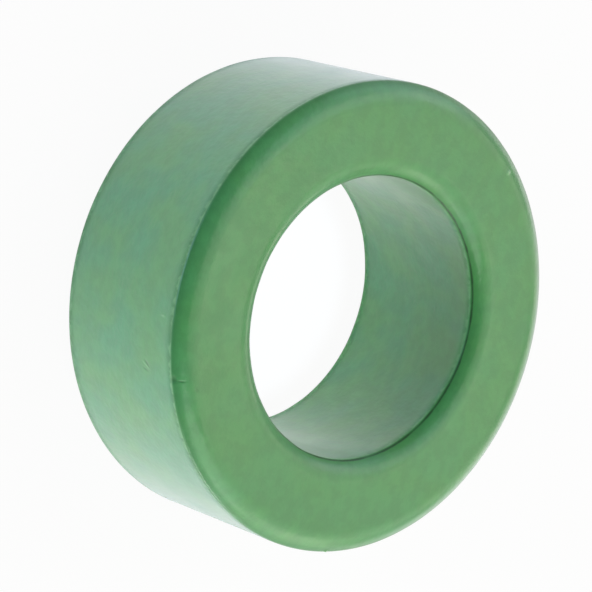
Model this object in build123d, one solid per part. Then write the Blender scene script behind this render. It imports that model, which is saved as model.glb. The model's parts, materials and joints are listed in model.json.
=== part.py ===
from build123d import *

import os

# Ferrite toroid core, pressed and sintered in one piece and then coated all over.
# Every length is in millimetres and is the finished size, over the coating.
# The ring lies on one end face: the origin is the centre of that face and +Z is the ring's axis.

# The window that the windings pass through, and the ring's own section around it
bore_diameter = 24.0
ring_width = 8.0
height = 16.0

# The press punches curve each end face down to a crease at the outer wall
outer_shoulder_width = 2.1
outer_shoulder_drop = 0.95

# and down to a crease at the bore
bore_shoulder_width = 1.9
bore_shoulder_drop = 1.0

# The bare creases are sharp, so an even coat rounds each of them to its own thickness
coating_thickness = 0.35


def ring_section():
    """One half of the ring cut through its axis, with both end faces alike."""
    bore_radius = bore_diameter / 2
    outer_radius = bore_radius + ring_width
    half_height = height / 2
    outer_crease = (outer_radius, half_height - outer_shoulder_drop)
    bore_crease = (bore_radius, half_height - bore_shoulder_drop)

    mid_height_plane = Plane((0, 0, half_height), x_dir=(1, 0, 0), z_dir=(0, -1, 0))
    with BuildSketch(mid_height_plane) as section:
        with BuildLine():
            # Flat end face, and a shoulder that leaves it without a step on either side
            end_face = Line(
                (bore_radius + bore_shoulder_width, half_height),
                (outer_radius - outer_shoulder_width, half_height),
            )
            TangentArc(end_face @ 1, outer_crease, tangent=end_face % 1)
            TangentArc(end_face @ 0, bore_crease, tangent=-(end_face % 0))
            mirror(about=Plane.XZ)
            # Straight walls, left by the die and its core rod, from crease to crease
            for radius, crease_height in (outer_crease, bore_crease):
                Line((radius, crease_height), (radius, -crease_height))
        make_face()
        creases_by_wall = section.vertices().group_by(Axis.X)
        fillet(creases_by_wall[0] + creases_by_wall[-1], radius=coating_thickness)
    return section.sketch


def toroid_core():
    """The coated ring, one solid, turned from its section about +Z."""
    return revolve(ring_section(), axis=Axis.Z)


os.makedirs("parts", exist_ok=True)
export_step(toroid_core(), "parts/toroid_core.step")
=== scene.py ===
"""A green coated ferrite toroid core, lying on a pale studio floor."""

import json
import math

import bmesh
import bpy
from bpy.props import FloatProperty, FloatVectorProperty, IntProperty, PointerProperty
from bpy.types import Operator, Panel, PropertyGroup
from mathutils import Matrix, Quaternion, Vector, noise


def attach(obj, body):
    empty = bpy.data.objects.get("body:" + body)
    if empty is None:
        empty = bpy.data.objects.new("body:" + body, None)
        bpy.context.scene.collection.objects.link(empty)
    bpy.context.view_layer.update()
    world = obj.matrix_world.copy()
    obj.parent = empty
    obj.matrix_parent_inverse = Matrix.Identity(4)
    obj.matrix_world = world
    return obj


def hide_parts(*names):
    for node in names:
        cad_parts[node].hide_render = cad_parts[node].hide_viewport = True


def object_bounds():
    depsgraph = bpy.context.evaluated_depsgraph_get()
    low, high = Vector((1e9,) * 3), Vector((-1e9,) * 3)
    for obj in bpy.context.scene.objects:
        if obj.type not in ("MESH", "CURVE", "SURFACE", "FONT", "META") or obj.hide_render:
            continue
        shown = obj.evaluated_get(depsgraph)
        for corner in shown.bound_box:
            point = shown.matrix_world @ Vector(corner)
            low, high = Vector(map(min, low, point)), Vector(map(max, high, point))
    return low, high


bl_info = {
    "name": "Ferrite Toroid Core",
    "version": (1, 0, 0),
    "blender": (4, 5, 0),
    "location": "3D View > Sidebar > Toroid Core",
    "description": "Models a coated ferrite ring core and the pale studio it is seen in",
    "category": "Add Mesh",
}

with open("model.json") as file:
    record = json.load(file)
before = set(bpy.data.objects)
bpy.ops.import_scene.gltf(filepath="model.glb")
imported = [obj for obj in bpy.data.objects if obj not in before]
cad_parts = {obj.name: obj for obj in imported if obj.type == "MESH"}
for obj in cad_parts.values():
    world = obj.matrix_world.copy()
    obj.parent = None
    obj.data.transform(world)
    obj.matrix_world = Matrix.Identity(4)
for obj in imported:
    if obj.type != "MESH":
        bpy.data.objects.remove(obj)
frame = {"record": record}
cad_low, cad_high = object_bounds()
bore_mount = next(mount for mount in frame["record"]["mounts"] if mount["name"] == "bore")

MM = 0.001
MERGE_DISTANCE = 0.0001 * MM


class RingSizes(PropertyGroup):
    """Finished sizes of the ring, over its coating, and how finely they are meshed."""

    outer_radius: FloatProperty(
        name="Outer Radius", description="From the axis to the outer wall",
        default=cad_high.x, unit="LENGTH",
    )
    bore_radius: FloatProperty(
        name="Bore Radius", description="From the axis to the bore's wall",
        default=bore_mount["dims"]["r_mm"] * MM, unit="LENGTH",
    )
    height: FloatProperty(
        name="Height", description="From the lower end face to the upper one",
        default=cad_high.z - cad_low.z, unit="LENGTH",
    )
    outer_shoulder_width: FloatProperty(
        name="Outer Shoulder Width",
        description="Radial width of the curve from the end face to the outer wall",
        default=2.1 * MM, unit="LENGTH",
    )
    outer_shoulder_drop: FloatProperty(
        name="Outer Shoulder Drop", description="How far below the end face the outer crease lies",
        default=0.95 * MM, unit="LENGTH",
    )
    bore_shoulder_width: FloatProperty(
        name="Bore Shoulder Width", description="Radial width of the curve from the end face to the bore",
        default=1.9 * MM, unit="LENGTH",
    )
    bore_shoulder_drop: FloatProperty(
        name="Bore Shoulder Drop", description="How far below the end face the bore's crease lies",
        default=1.0 * MM, unit="LENGTH",
    )
    coating_thickness: FloatProperty(
        name="Coating Thickness", description="The coat's thickness, and so its radius over the creases",
        default=0.35 * MM, unit="LENGTH",
    )
    steps_around: IntProperty(
        name="Steps Around", description="Faces in one turn of the ring", default=360, min=12,
    )
    shoulder_steps: IntProperty(
        name="Shoulder Steps", description="Faces across each curved shoulder", default=14, min=2,
    )
    crease_steps: IntProperty(
        name="Crease Steps", description="Faces across each rounded crease", default=6, min=1,
    )
    face_steps: IntProperty(
        name="Face Steps", description="Rows across each flat end face", default=12, min=1,
    )
    wall_steps: IntProperty(
        name="Wall Steps", description="Rows on each half of a wall", default=22, min=1,
    )


class CoatingLook(PropertyGroup):
    """Colour and finish of the sprayed epoxy coating, with painted shade and painted highlight along the
    creases.
    """

    green: FloatVectorProperty(
        name="Green", description="Colour of the coating", subtype="COLOR",
        default=(0.080, 0.412, 0.094), min=0.0, max=1.0,
    )
    # Partly painted reflection: the patches make the walls bluer, as mirrored cool light would
    patch_and_reflection_green: FloatVectorProperty(
        name="Patch Green", description="Bluer colour of the patches", subtype="COLOR",
        default=(0.050, 0.395, 0.135), min=0.0, max=1.0,
    )
    # Dark colour of the flecks, and of the painted shade along the creases and on the darker marks
    ferrite_and_shade_green: FloatVectorProperty(
        name="Thin Green", description="Colour where the dark ferrite shows through", subtype="COLOR",
        default=(0.016, 0.110, 0.022), min=0.0, max=1.0,
    )
    # Pale colour of the painted highlight below the creases and on the paler marks
    resin_and_highlight_green: FloatVectorProperty(
        name="Thick Green", description="Paler colour where the resin has gathered", subtype="COLOR",
        default=(0.260, 0.620, 0.250), min=0.0, max=1.0,
    )
    patch_size: FloatProperty(
        name="Patch Size", description="Width of the patches", default=4.5 * MM, unit="LENGTH",
    )
    face_patches: FloatProperty(
        name="Face Patches",
        description="Strength of the patches on the end faces, as a share of that on the walls",
        subtype="FACTOR", default=0.3, min=0.0, max=1.0,
    )
    fleck_size: FloatProperty(
        name="Fleck Size", description="Width of the fine darker flecks", default=1.1 * MM, unit="LENGTH",
    )
    flecks: FloatProperty(
        name="Flecks", description="How much darker those flecks are", subtype="FACTOR",
        default=0.16, min=0.0, max=1.0,
    )
    # Painted shade: a dark line along the bore's crease
    bore_shade_line: FloatProperty(
        name="Thin Line", description="Width of the line along the bore's crease, where the coat draws thin",
        default=0.17 * MM, unit="LENGTH",
    )
    bore_shade_line_place: FloatProperty(
        name="Thin Line Place", description="From the crease up the shoulder to the middle of that line",
        default=0.16 * MM, unit="LENGTH",
    )
    bore_shade_line_wander: FloatProperty(
        name="Thin Line Wander", description="How far that line strays", default=0.05 * MM, unit="LENGTH",
    )
    # Painted shade: the outer shoulder darkens towards its crease
    shoulder_painted_shade: FloatProperty(
        name="Thin Shoulder", description="How far up the outer shoulder the coat is thin",
        default=0.9 * MM, unit="LENGTH",
    )
    shoulder_painted_shade_share: FloatProperty(
        name="Thin Shoulder Share",
        description="How much of the ferrite's darkness shows at the outer crease",
        subtype="FACTOR", default=0.38, min=0.0, max=1.0,
    )
    # Painted highlight: a pale, lumpy band on each wall just below the crease
    highlight_bead: FloatProperty(
        name="Bead", description="Width of the paler bead of resin on each wall, below the crease",
        default=0.42 * MM, unit="LENGTH",
    )
    highlight_bead_share: FloatProperty(
        name="Bead Share", description="How pale that bead is", subtype="FACTOR",
        default=0.5, min=0.0, max=1.0,
    )
    highlight_bead_wander: FloatProperty(
        name="Bead Wander", description="How unevenly the bead lies", default=0.42 * MM, unit="LENGTH",
    )
    highlight_bead_lump: FloatProperty(
        name="Bead Lump", description="Length of one lump of the bead", default=0.7 * MM, unit="LENGTH",
    )
    roughness: FloatProperty(
        name="Roughness", description="How matt the pigment under the skin is", subtype="FACTOR",
        default=0.40, min=0.0, max=1.0,
    )
    skin_gloss: FloatProperty(
        name="Skin Gloss", description="How much clear resin lies over the pigment", subtype="FACTOR",
        default=1.0, min=0.0, max=1.0,
    )
    crease_gloss: FloatProperty(
        name="Crease Gloss", description="How much of that clear resin is left on the creases",
        subtype="FACTOR", default=0.22, min=0.0, max=1.0,
    )
    skin_smooth: FloatProperty(
        name="Skin Smooth", description="Roughness of the clear skin where it is smoothest", subtype="FACTOR",
        default=0.16, min=0.0, max=1.0,
    )
    skin_rough: FloatProperty(
        name="Skin Rough", description="Roughness of the clear skin where it is dullest", subtype="FACTOR",
        default=0.27, min=0.0, max=1.0,
    )
    dust: FloatProperty(
        name="Dust", description="Pale bloom that shows where the surface turns away", subtype="FACTOR",
        default=0.6, min=0.0, max=1.0,
    )
    dust_roughness: FloatProperty(
        name="Dust Roughness", description="How far that bloom reaches in from the edge", subtype="FACTOR",
        default=0.5, min=0.0, max=1.0,
    )
    peel_size: FloatProperty(
        name="Peel Size", description="Width of the orange peel in the sprayed coat",
        default=0.45 * MM, unit="LENGTH",
    )
    peel_depth: FloatProperty(
        name="Peel Depth", description="Depth of the orange peel", default=0.006 * MM, unit="LENGTH",
    )
    wave_size: FloatProperty(
        name="Wave Size", description="Width of the low waves in the coat", default=2.0 * MM, unit="LENGTH",
    )
    wave_depth: FloatProperty(
        name="Wave Depth", description="Depth of those waves", default=0.02 * MM, unit="LENGTH",
    )
    bore_wave_depth: FloatProperty(
        name="Bore Wave Depth",
        description="Depth of the waves in the bore, where the coat lies least evenly",
        default=0.05 * MM, unit="LENGTH",
    )


class StudioLook(PropertyGroup):
    """The floor, the room, the lamps and the camera."""

    floor_white: FloatProperty(
        name="Floor White",
        description="How much of the floor is seen as plain white, whatever light falls on it",
        subtype="FACTOR", default=0.95, min=0.0, max=1.0,
    )
    room_light: FloatProperty(
        name="Room Light", description="Even light from every side", default=0.15, min=0.0,
    )
    lamp_distance: FloatProperty(
        name="Lamp Distance", description="From the ring to each lamp", default=0.5, unit="LENGTH",
    )
    bore_light: FloatProperty(
        name="Bore Light", description="Strength of the light that falls through the bore on the floor",
        default=0.9, min=0.0,
    )
    paper: FloatVectorProperty(
        name="Paper", description="Colour of the floor where light falls on it", subtype="COLOR",
        default=(0.92, 0.92, 0.92), min=0.0, max=1.0,
    )
    paper_roughness: FloatProperty(
        name="Paper Roughness", description="How matt the floor is", subtype="FACTOR",
        default=0.9, min=0.0, max=1.0,
    )
    floor_reach: FloatProperty(
        name="Floor Reach", description="From the ring to the floor's edges", default=1.5, unit="LENGTH",
    )
    camera_aim: FloatVectorProperty(
        name="Camera Aim", description="The point that shows in the middle of the picture",
        subtype="TRANSLATION", default=(-0.142 * MM, -0.980 * MM, 7.140 * MM),
    )
    camera_distance: FloatProperty(
        name="Camera Distance", description="From that point to the camera",
        default=261.88 * MM, unit="LENGTH",
    )
    camera_height: FloatProperty(
        name="Camera Height", description="Angle that the camera looks down by",
        subtype="ANGLE", default=math.radians(48.836),
    )
    camera_roll: FloatProperty(
        name="Camera Roll", description="Turn of the camera about its own view",
        subtype="ANGLE", default=math.radians(107.07),
    )
    camera_lens: FloatProperty(
        name="Camera Lens", description="Focal length in millimetres", default=187.66, min=1.0,
    )


BLUE = (0.62, 0.92, 1.45)
COOL = (0.80, 0.97, 1.20)
WHITE = (1.0, 1.0, 1.0)
WARM = (1.06, 1.03, 0.86)

# Soft lamps round the ring: name, degrees round it from the camera's side, degrees up, width and height
# in metres, strength, at which 1 lights a face turned to the lamp fully, and colour
LAMPS = (
    ("front_floor_strip", 0, 2.5, 0.27, 0.06, 0.248, BLUE),
    ("right_floor_strip", 90, 2.5, 0.27, 0.06, 0.407, WHITE),
    ("right_lamp", 95, 46, 0.30, 0.30, 0.150, WHITE),
    ("back_right_low_lamp", 120, 22, 0.40, 0.30, 0.152, WARM),
    ("back_right_lamp", 150, 42, 0.40, 0.40, 0.155, WARM),
    ("back_strip", 180, 8, 0.27, 0.13, 0.043, WARM),
    ("top_lamp", 180, 78, 0.30, 0.30, 0.085, WARM),
    ("back_left_lamp", 210, 42, 0.40, 0.40, 0.166, WARM),
    ("left_low_lamp", 240, 22, 0.40, 0.30, 0.117, COOL),
    ("left_high_lamp", 240, 58, 0.30, 0.30, 0.065, COOL),
)

# The bore lamp lights only this share of the bore's radius on the floor, and so never the shoulder
BORE_LIT_SHARE = 0.93
BORE_LAMP_BLEND = 0.4
BORE_LAMP_SIZE = 0.5 * MM

# Power, over the square of the distance, at which a lamp lights a face turned to it fully
AREA_LAMP_POWER = math.pi**2
SPOT_LAMP_POWER = 4 * math.pi**2

# Marks in the coat, in millimetres: name, degrees round from +X, radius and height of the middle,
# half the length and half the width, rise, degrees from round the ring to up the surface, and
# tone, which is over 0 where the resin has gathered and under 0 where the ferrite shows through,
# and which is partly painted highlight and painted shade on the marks' bumps and dents
MARKS = (
    ("pimple", 146.6, 18.55, 15.92, 0.42, 0.30, 0.076, 80, 0.9),
    ("crease_nick", -62.9, 19.93, 15.12, 0.50, 0.45, -0.06, 0, -0.5),
    ("nick_scratch", -62.3, 19.42, 15.53, 0.60, 0.16, -0.02, 78, -0.5),
    ("shoulder_pit", -59.4, 18.33, 15.97, 0.38, 0.24, -0.015, 20, -0.25),
    ("first_scuff", -64.8, 20.0, 11.80, 0.70, 0.18, -0.02, 48, -0.45),
    ("middle_scuff", -64.1, 20.0, 11.63, 0.90, 0.17, -0.02, 62, 0.4),
    ("last_scuff", -63.3, 20.0, 11.60, 0.60, 0.20, -0.02, 74, -0.35),
    ("wall_stroke", -77.2, 20.0, 13.76, 0.47, 0.15, 0.03, 87, 0.5),
    ("crease_nub", 10.05, 19.88, 15.18, 0.24, 0.22, 0.10, 0, 0.8),
)
TONE_AND_LIGHT_LAYER = "mark_tone_and_painted_light"

# Within this many times a mark's longer half, edges over this share of its half width are cut in two
MARK_MARGIN = 2
MARK_FINENESS = 0.25
MARK_CUTS = 3

# Noise lies mostly between these two values, which are spread over the whole range that it sets
NOISE_LOW = 0.33
NOISE_HIGH = 0.67
NOISE_DETAIL = 2.0

# How far out from its middle the painted shade line along the bore's crease stays fully dark, to its width
LINE_CORE = 0.25

# How far out from the crease the painted highlight bead is palest, and where it ends, to its width
HIGHLIGHT_BEAD_CORE = 0.5
HIGHLIGHT_BEAD_END = 1.5

# How far below the crease the painted highlight bead starts to fade upwards, to its width
HIGHLIGHT_BEAD_TOP = 0.25

# How far out from the crease the skin stays dull, and where its full gloss starts, to the painted highlight
# bead's width
DULL_CORE = 0.5
DULL_END = 2.0

# Width of the duller places in the skin, to that of the patches
DULL_PLACE_SHARE = 0.5


def spin_point(bm, point, centre, angle, steps):
    """Carries a point of the section round a centre in the XZ plane, and returns where it ends."""
    spun = bmesh.ops.spin(
        bm, geom=[point], cent=centre, axis=(0.0, 1.0, 0.0), angle=angle, steps=steps,
        use_merge=False, use_duplicate=False,
    )
    return next(item for item in spun["geom_last"] if isinstance(item, bmesh.types.BMVert))


def run_straight(bm, point, run, steps):
    """Carries a point of the section along a straight run, and returns where it ends."""
    for _ in range(steps):
        point = bmesh.ops.extrude_vert_indiv(bm, verts=[point])["verts"][0]
        point.co += run / steps
    return point


def shape_shoulder(bm, ring, face_end, wall_radius, drop, outward):
    """Runs the section from the flat face's end over the shoulder and crease, and down to mid-height."""
    width = abs(wall_radius - face_end.co.x)
    shoulder_radius = (width**2 + drop**2) / (2 * drop)
    shoulder_centre = Vector((face_end.co.x, 0.0, ring.height - shoulder_radius))

    # The crease's arc touches the wall on one side and the shoulder on the other
    crease_centre = Vector((wall_radius - outward * ring.coating_thickness, 0.0, 0.0))
    centre_spacing = shoulder_radius - ring.coating_thickness
    crease_offset = abs(crease_centre.x - shoulder_centre.x)
    crease_centre.z = shoulder_centre.z + math.sqrt(centre_spacing**2 - crease_offset**2)
    shoulder_angle = math.asin(crease_offset / centre_spacing)
    crease_angle = math.pi / 2 - shoulder_angle

    point = spin_point(bm, face_end, shoulder_centre, outward * shoulder_angle, ring.shoulder_steps)
    point = spin_point(bm, point, crease_centre, outward * crease_angle, ring.crease_steps)
    run_straight(bm, point, Vector((0.0, 0.0, ring.height / 2 - point.co.z)), ring.wall_steps)


def draw_section(bm, ring):
    """Draws the ring's section as a closed run of edges in the XZ plane."""
    bore_end = bm.verts.new((ring.bore_radius + ring.bore_shoulder_width, 0.0, ring.height))
    flat_width = ring.outer_radius - ring.outer_shoulder_width - bore_end.co.x
    outer_end = run_straight(bm, bore_end, Vector((flat_width, 0.0, 0.0)), ring.face_steps)
    shape_shoulder(bm, ring, outer_end, ring.outer_radius, ring.outer_shoulder_drop, 1)
    shape_shoulder(bm, ring, bore_end, ring.bore_radius, ring.bore_shoulder_drop, -1)
    bmesh.ops.mirror(
        bm, geom=bm.verts[:] + bm.edges[:], axis="Z", merge_dist=MERGE_DISTANCE,
        matrix=Matrix.Translation((0.0, 0.0, -ring.height / 2)),
    )


def wave_coat(bm, ring, look):
    """Lets the coat lie in low waves that only sink in from its outer size, deepest in the bore."""
    bm.normal_update()
    for point in bm.verts:
        in_bore = math.hypot(point.co.x, point.co.y) < ring.bore_radius + ring.coating_thickness
        depth = look.bore_wave_depth if in_bore else look.wave_depth
        wave = 0.5 + 0.5 * noise.noise(point.co / look.wave_size)
        point.co -= point.normal * depth * wave


def points_near(bm, centre, reach):
    """The mesh's points that lie less than that far from a place."""
    return [point for point in bm.verts if (point.co - centre).length < reach]


def cut_finer(bm, centre, reach, finest):
    """Cuts the edges round a place in two, several times over, down to the finest that a mark needs."""
    for _ in range(MARK_CUTS):
        near = points_near(bm, centre, reach)
        near_edges = dict.fromkeys(edge for point in near for edge in point.link_edges)
        long_edges = [edge for edge in near_edges if edge.calc_length() > finest]
        bmesh.ops.subdivide_edges(bm, edges=long_edges, cuts=1, use_grid_fill=True)
    bm.normal_update()


def mark_coat(bm, angle, radius, height, half_length, half_width, rise, turn, tone_and_light):
    """Raises or sinks one small mark and gives it its tone, partly painted highlight and shade, after cutting
    the faces under it finer.
    """
    tones_and_light = bm.verts.layers.float[TONE_AND_LIGHT_LAYER]
    turned = math.radians(angle)
    outward = Vector((math.cos(turned), math.sin(turned), 0.0))
    centre = (outward * radius + Vector((0.0, 0.0, height))) * MM
    reach = MARK_MARGIN * max(half_length, half_width) * MM
    cut_finer(bm, centre, reach, MARK_FINENESS * half_width * MM)
    near = points_near(bm, centre, reach)
    normal = min(near, key=lambda point: (point.co - centre).length).normal.copy()

    # The mark rises along the normal, and is longest along its own turn
    around = Vector((-outward.y, outward.x, 0.0))
    along = Matrix.Rotation(math.radians(turn), 3, normal) @ around
    across = normal.cross(along)
    for point in near:
        offset = point.co - centre
        share = math.hypot(offset.dot(along) / half_length, offset.dot(across) / half_width) / MM
        if share < 1.0:
            fullness = 0.5 + 0.5 * math.cos(math.pi * share)
            point.co += normal * rise * MM * fullness
            point[tones_and_light] += tone_and_light * fullness


def add_node(tree, kind, inputs, **settings):
    """Adds a node, sets it up, and feeds each input with a value or with another node's output."""
    node = tree.nodes.new(kind)
    for setting, value in settings.items():
        setattr(node, setting, value)
    for socket, source in inputs.items():
        if isinstance(source, bpy.types.NodeSocket):
            tree.links.new(source, node.inputs[socket])
        else:
            node.inputs[socket].default_value = source
    return node


def add_ramp(tree, value, from_min, from_max, to_min, to_max):
    """A smooth change from one value to another."""
    inputs = {
        "Value": value, "From Min": from_min, "From Max": from_max, "To Min": to_min, "To Max": to_max,
    }
    return add_node(tree, "ShaderNodeMapRange", inputs, interpolation_type="SMOOTHSTEP").outputs["Result"]


def add_noise(tree, place, size, low, high):
    """A value that wanders between two others in lumps of that size."""
    inputs = {"Vector": place, "Scale": 1 / size, "Detail": NOISE_DETAIL}
    lumps = add_node(tree, "ShaderNodeTexNoise", inputs).outputs["Fac"]
    return add_ramp(tree, lumps, NOISE_LOW, NOISE_HIGH, low, high)


def add_math(tree, operation, first, second):
    """Two values joined into one."""
    return add_node(tree, "ShaderNodeMath", {0: first, 1: second}, operation=operation).outputs[0]


def add_mix(tree, share, first, second):
    """One colour running into another."""
    inputs = {"Factor": share, "A": first, "B": second}
    return add_node(tree, "ShaderNodeMix", inputs, data_type="RGBA").outputs["Result"]


def crease_point(ring, wall, up_shoulder):
    """Radius and height over mid-height of the point that far up the shoulder from a wall's crease."""
    outward = 1 if wall == "outer" else -1
    drop = getattr(ring, f"{wall}_shoulder_drop")
    slope = 2 * math.atan(drop / getattr(ring, f"{wall}_shoulder_width"))
    radius = getattr(ring, f"{wall}_radius") - outward * up_shoulder * math.cos(slope)
    return (radius, ring.height / 2 - drop + up_shoulder * math.sin(slope), 0.0)


def add_distance(tree, section_place, point):
    """How far each point of the surface lies from a point of the ring's section."""
    return add_node(
        tree, "ShaderNodeVectorMath", {0: section_place, 1: point}, operation="DISTANCE",
    ).outputs["Value"]


def coating_material(look, ring):
    """Clear-skinned green epoxy, patchy and flecked, with painted shade along the creases and a painted
    highlight below them.
    """
    material = bpy.data.materials.new("green_epoxy_coating")
    material.use_nodes = True
    tree = material.node_tree
    shader = tree.nodes["Principled BSDF"]
    place = tree.nodes.new("ShaderNodeTexCoord").outputs["Object"]

    # Where a point lies in the ring's section: its radius, and its height above or below the middle
    split = add_node(tree, "ShaderNodeSeparateXYZ", {"Vector": place}).outputs
    flat_place = add_node(tree, "ShaderNodeCombineXYZ", {"X": split["X"], "Y": split["Y"]}).outputs[0]
    radius = add_node(tree, "ShaderNodeVectorMath", {0: flat_place}, operation="LENGTH").outputs["Value"]
    above = add_math(tree, "SUBTRACT", split["Z"], ring.height / 2)
    level = add_node(tree, "ShaderNodeMath", {0: above}, operation="ABSOLUTE").outputs[0]
    section_place = add_node(tree, "ShaderNodeCombineXYZ", {"X": radius, "Y": level}).outputs[0]

    # Bluer patches, which lie at random and are strongest on the walls, where they are partly a painted
    # reflection of cool light, and fine darker flecks
    # Dark and pale colours, used below for flecks and marks and for the painted shade and painted highlight
    # at the creases
    dark_and_shade = (*look.ferrite_and_shade_green, 1.0)
    pale_and_highlight = (*look.resin_and_highlight_green, 1.0)
    crease_level = ring.height / 2 - ring.outer_shoulder_drop
    wall_reflection_share = add_ramp(tree, level, crease_level - look.highlight_bead, crease_level, 1.0, look.face_patches)
    patches = add_math(tree, "MULTIPLY", add_noise(tree, place, look.patch_size, 0.0, 1.0), wall_reflection_share)
    colour = add_mix(tree, patches, (*look.green, 1.0), (*look.patch_and_reflection_green, 1.0))
    colour = add_mix(tree, add_noise(tree, place, look.fleck_size, 0.0, look.flecks), colour, dark_and_shade)

    # Painted shade: on the outer shoulder the colour darkens towards the crease, as shade falls there
    to_outer = add_distance(tree, section_place, crease_point(ring, "outer", 0.0))
    outer_painted_shade = add_ramp(tree, to_outer, 0.0, look.shoulder_painted_shade, look.shoulder_painted_shade_share, 0.0)
    colour = add_mix(tree, outer_painted_shade, colour, dark_and_shade)

    # Painted shade: a dark line beside the bore's crease, where shade falls in the crease
    to_line = add_distance(tree, section_place, crease_point(ring, "bore", look.bore_shade_line_place))
    line_wander = add_noise(tree, place, look.fleck_size, 0.0, look.bore_shade_line_wander)
    line_edge = add_math(tree, "ADD", to_line, line_wander)
    line = add_ramp(tree, line_edge, LINE_CORE * look.bore_shade_line, look.bore_shade_line, 1.0, 0.0)
    colour = add_mix(tree, line, colour, dark_and_shade)

    # Painted highlight: on the walls a pale, lumpy bead below the creases stands for the light rim they
    # catch, and the creases shine less
    to_bore = add_distance(tree, section_place, crease_point(ring, "bore", 0.0))
    to_crease = add_math(tree, "MINIMUM", to_outer, to_bore)
    highlight_bead_wander = add_noise(tree, place, look.highlight_bead_lump, 0.0, look.highlight_bead_wander)
    highlight_bead_edge = add_math(tree, "ADD", to_crease, highlight_bead_wander)
    highlight_bead = add_ramp(tree, highlight_bead_edge, HIGHLIGHT_BEAD_CORE * look.highlight_bead, HIGHLIGHT_BEAD_END * look.highlight_bead, look.highlight_bead_share, 0.0)
    on_wall = add_ramp(tree, level, crease_level - HIGHLIGHT_BEAD_TOP * look.highlight_bead, crease_level, 1.0, 0.0)
    colour = add_mix(tree, add_math(tree, "MULTIPLY", highlight_bead, on_wall), colour, pale_and_highlight)
    dull = DULL_CORE * look.highlight_bead
    skin = add_ramp(tree, to_crease, dull, DULL_END * look.highlight_bead, look.crease_gloss, look.skin_gloss)

    # The marks bring their own tone, which is partly painted highlight and painted shade on their bumps and
    # dents
    tone_and_light = add_node(tree, "ShaderNodeAttribute", {}, attribute_name=TONE_AND_LIGHT_LAYER).outputs["Fac"]
    colour = add_mix(tree, tone_and_light, colour, pale_and_highlight)
    colour = add_mix(tree, add_math(tree, "MULTIPLY", tone_and_light, -1.0), colour, dark_and_shade)

    # The skin is duller in places, and has a fine orange peel
    dull_place = DULL_PLACE_SHARE * look.patch_size
    skin_roughness = add_noise(tree, place, dull_place, look.skin_smooth, look.skin_rough)
    peel_height = add_noise(tree, place, look.peel_size, 0.0, 1.0)
    peel_inputs = {"Height": peel_height, "Distance": look.peel_depth}
    peel = add_node(tree, "ShaderNodeBump", peel_inputs).outputs["Normal"]

    tree.links.new(colour, shader.inputs["Base Color"])
    tree.links.new(skin, shader.inputs["Coat Weight"])
    tree.links.new(skin_roughness, shader.inputs["Coat Roughness"])
    tree.links.new(peel, shader.inputs["Normal"])
    tree.links.new(peel, shader.inputs["Coat Normal"])
    shader.inputs["Roughness"].default_value = look.roughness
    shader.inputs["Sheen Weight"].default_value = look.dust
    shader.inputs["Sheen Roughness"].default_value = look.dust_roughness
    return material


def add_object(context, name, data):
    """Adds an object to the scene, at the origin."""
    thing = bpy.data.objects.new(name, data)
    context.scene.collection.objects.link(thing)
    return thing


class TOROID_OT_add_core(Operator):
    """Model the coated ring core as one solid of revolution"""

    bl_idname = "toroid.add_core"
    bl_label = "Add Coated Core"

    def execute(self, context):
        ring = context.scene.toroid_ring
        bm = bmesh.new()
        draw_section(bm, ring)
        bmesh.ops.spin(
            bm, geom=bm.verts[:] + bm.edges[:], cent=(0.0, 0.0, 0.0), axis=(0.0, 0.0, 1.0),
            angle=math.tau, steps=ring.steps_around, use_merge=True, use_duplicate=False,
        )
        bmesh.ops.remove_doubles(bm, verts=bm.verts[:], dist=MERGE_DISTANCE)
        bmesh.ops.recalc_face_normals(bm, faces=bm.faces[:])
        wave_coat(bm, ring, context.scene.toroid_coating)
        bm.verts.layers.float.new(TONE_AND_LIGHT_LAYER)
        for _, *place_and_shape in MARKS:
            mark_coat(bm, *place_and_shape)
        mesh = bpy.data.meshes.new("coated_core")
        bm.to_mesh(mesh)
        bm.free()
        mesh.shade_smooth()
        core = add_object(context, "coated_core", mesh)
        mesh.materials.append(coating_material(context.scene.toroid_coating, ring))
        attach(core, "root")
        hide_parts("toroid_core")
        return {"FINISHED"}


def add_floor(context):
    """A white floor that keeps the ring's soft shadow and runs on past the frame."""
    studio = context.scene.toroid_studio
    mesh = bpy.data.meshes.new("floor")
    bm = bmesh.new()
    bmesh.ops.create_grid(bm, x_segments=1, y_segments=1, size=studio.floor_reach)
    bm.to_mesh(mesh)
    bm.free()
    floor = add_object(context, "floor", mesh)
    material = bpy.data.materials.new("white_floor")
    material.use_nodes = True
    tree = material.node_tree
    paper = tree.nodes["Principled BSDF"]
    paper.inputs["Base Color"].default_value = (*studio.paper, 1.0)
    paper.inputs["Roughness"].default_value = studio.paper_roughness
    paper.inputs["Specular IOR Level"].default_value = 0.0

    # The camera sees the paper nearly plain white, and the ring's gloss mirrors it as plain white
    glow = add_node(tree, "ShaderNodeEmission", {"Strength": 1.0}).outputs["Emission"]
    rays = tree.nodes.new("ShaderNodeLightPath").outputs
    seen = add_math(tree, "MULTIPLY", rays["Is Camera Ray"], studio.floor_white)
    share = add_math(tree, "MAXIMUM", seen, rays["Is Glossy Ray"])
    inputs = {"Fac": share, 1: paper.outputs["BSDF"], 2: glow}
    both = add_node(tree, "ShaderNodeMixShader", inputs).outputs["Shader"]
    tree.links.new(both, tree.nodes["Material Output"].inputs["Surface"])
    mesh.materials.append(material)


def direction_from(degrees_round, height_angle):
    """The way from the ring to a place that many degrees round from the camera's side, and that high."""
    turn = math.radians(degrees_round)
    level = Vector((math.sin(turn), -math.cos(turn), 0.0)) * math.cos(height_angle)
    return level + Vector((0.0, 0.0, math.sin(height_angle)))


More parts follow.
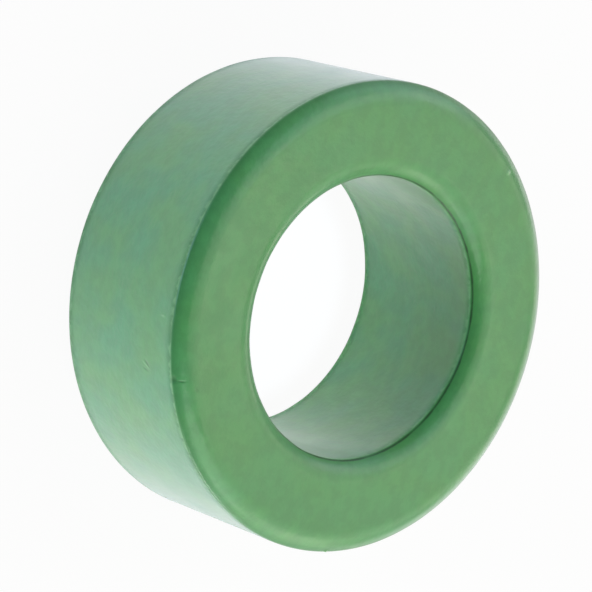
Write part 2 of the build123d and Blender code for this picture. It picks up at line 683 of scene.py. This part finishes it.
def add_lamp(context, name, way, width, height, strength, colour):
    """A soft lamp that faces the ring."""
    studio = context.scene.toroid_studio
    data = bpy.data.lights.new(name, "AREA")
    data.shape = "RECTANGLE"
    data.size = width
    data.size_y = height
    data.energy = strength * AREA_LAMP_POWER * studio.lamp_distance**2
    data.color = colour
    lamp = add_object(context, name, data)
    lamp.visible_camera = False
    lamp.location = Vector((0.0, 0.0, context.scene.toroid_ring.height / 2)) + way * studio.lamp_distance
    lamp.rotation_mode = "QUATERNION"
    lamp.rotation_quaternion = way.to_track_quat("Z", "Y")


def add_bore_lamp(context):
    """A narrow lamp straight above, which lights the bore's wall by way of the floor inside it."""
    ring = context.scene.toroid_ring
    studio = context.scene.toroid_studio
    data = bpy.data.lights.new("bore_lamp", "SPOT")
    lit_radius = BORE_LIT_SHARE * ring.bore_radius
    data.spot_size = 2 * math.atan(lit_radius / (studio.lamp_distance - ring.height))
    data.spot_blend = BORE_LAMP_BLEND
    data.shadow_soft_size = BORE_LAMP_SIZE
    data.energy = studio.bore_light * SPOT_LAMP_POWER * studio.lamp_distance**2
    data.color = COOL
    lamp = add_object(context, "bore_lamp", data)
    lamp.visible_camera = False
    lamp.location = (0.0, 0.0, studio.lamp_distance)


def add_camera(context):
    """The camera looks down on the ring, and is rolled to the photograph's upright."""
    studio = context.scene.toroid_studio
    data = bpy.data.cameras.new("camera")
    data.lens = studio.camera_lens
    camera = add_object(context, "camera", data)
    way = direction_from(0.0, studio.camera_height)
    camera.location = Vector(studio.camera_aim) + way * studio.camera_distance
    camera.rotation_mode = "QUATERNION"
    level = way.to_track_quat("Z", "Y")
    camera.rotation_quaternion = level @ Quaternion((0.0, 0.0, 1.0), studio.camera_roll)
    context.scene.camera = camera


class TOROID_OT_add_studio(Operator):
    """Lay the white floor, hang the lamps and set the camera"""

    bl_idname = "toroid.add_studio"
    bl_label = "Add Studio"

    def execute(self, context):
        studio = context.scene.toroid_studio
        add_floor(context)
        world = bpy.data.worlds.new("white_room")
        world.use_nodes = True
        background = world.node_tree.nodes["Background"]
        background.inputs["Color"].default_value = (*WHITE, 1.0)
        background.inputs["Strength"].default_value = studio.room_light
        context.scene.world = world
        for name, degrees_round, degrees_up, *shape_and_light in LAMPS:
            way = direction_from(degrees_round, math.radians(degrees_up))
            add_lamp(context, name, way, *shape_and_light)
        add_bore_lamp(context)
        add_camera(context)
        context.scene.view_settings.view_transform = "Standard"
        return {"FINISHED"}


class TOROID_PT_panel(Panel):
    """Lists the pieces that can be added"""

    bl_label = "Toroid Core"
    bl_space_type = "VIEW_3D"
    bl_region_type = "UI"
    bl_category = "Toroid Core"

    def draw(self, context):
        for operator in OPERATORS:
            self.layout.operator(operator.bl_idname)


OPERATORS = (TOROID_OT_add_core, TOROID_OT_add_studio)
CLASSES = (RingSizes, CoatingLook, StudioLook, *OPERATORS, TOROID_PT_panel)


def register():
    for cls in CLASSES:
        bpy.utils.register_class(cls)
    bpy.types.Scene.toroid_ring = PointerProperty(type=RingSizes)
    bpy.types.Scene.toroid_coating = PointerProperty(type=CoatingLook)
    bpy.types.Scene.toroid_studio = PointerProperty(type=StudioLook)


def unregister():
    del bpy.types.Scene.toroid_studio
    del bpy.types.Scene.toroid_coating
    del bpy.types.Scene.toroid_ring
    for cls in reversed(CLASSES):
        bpy.utils.unregister_class(cls)


def main():
    register()
    bpy.ops.toroid.add_core()
    bpy.ops.toroid.add_studio()


if __name__ == "__main__":
    main()
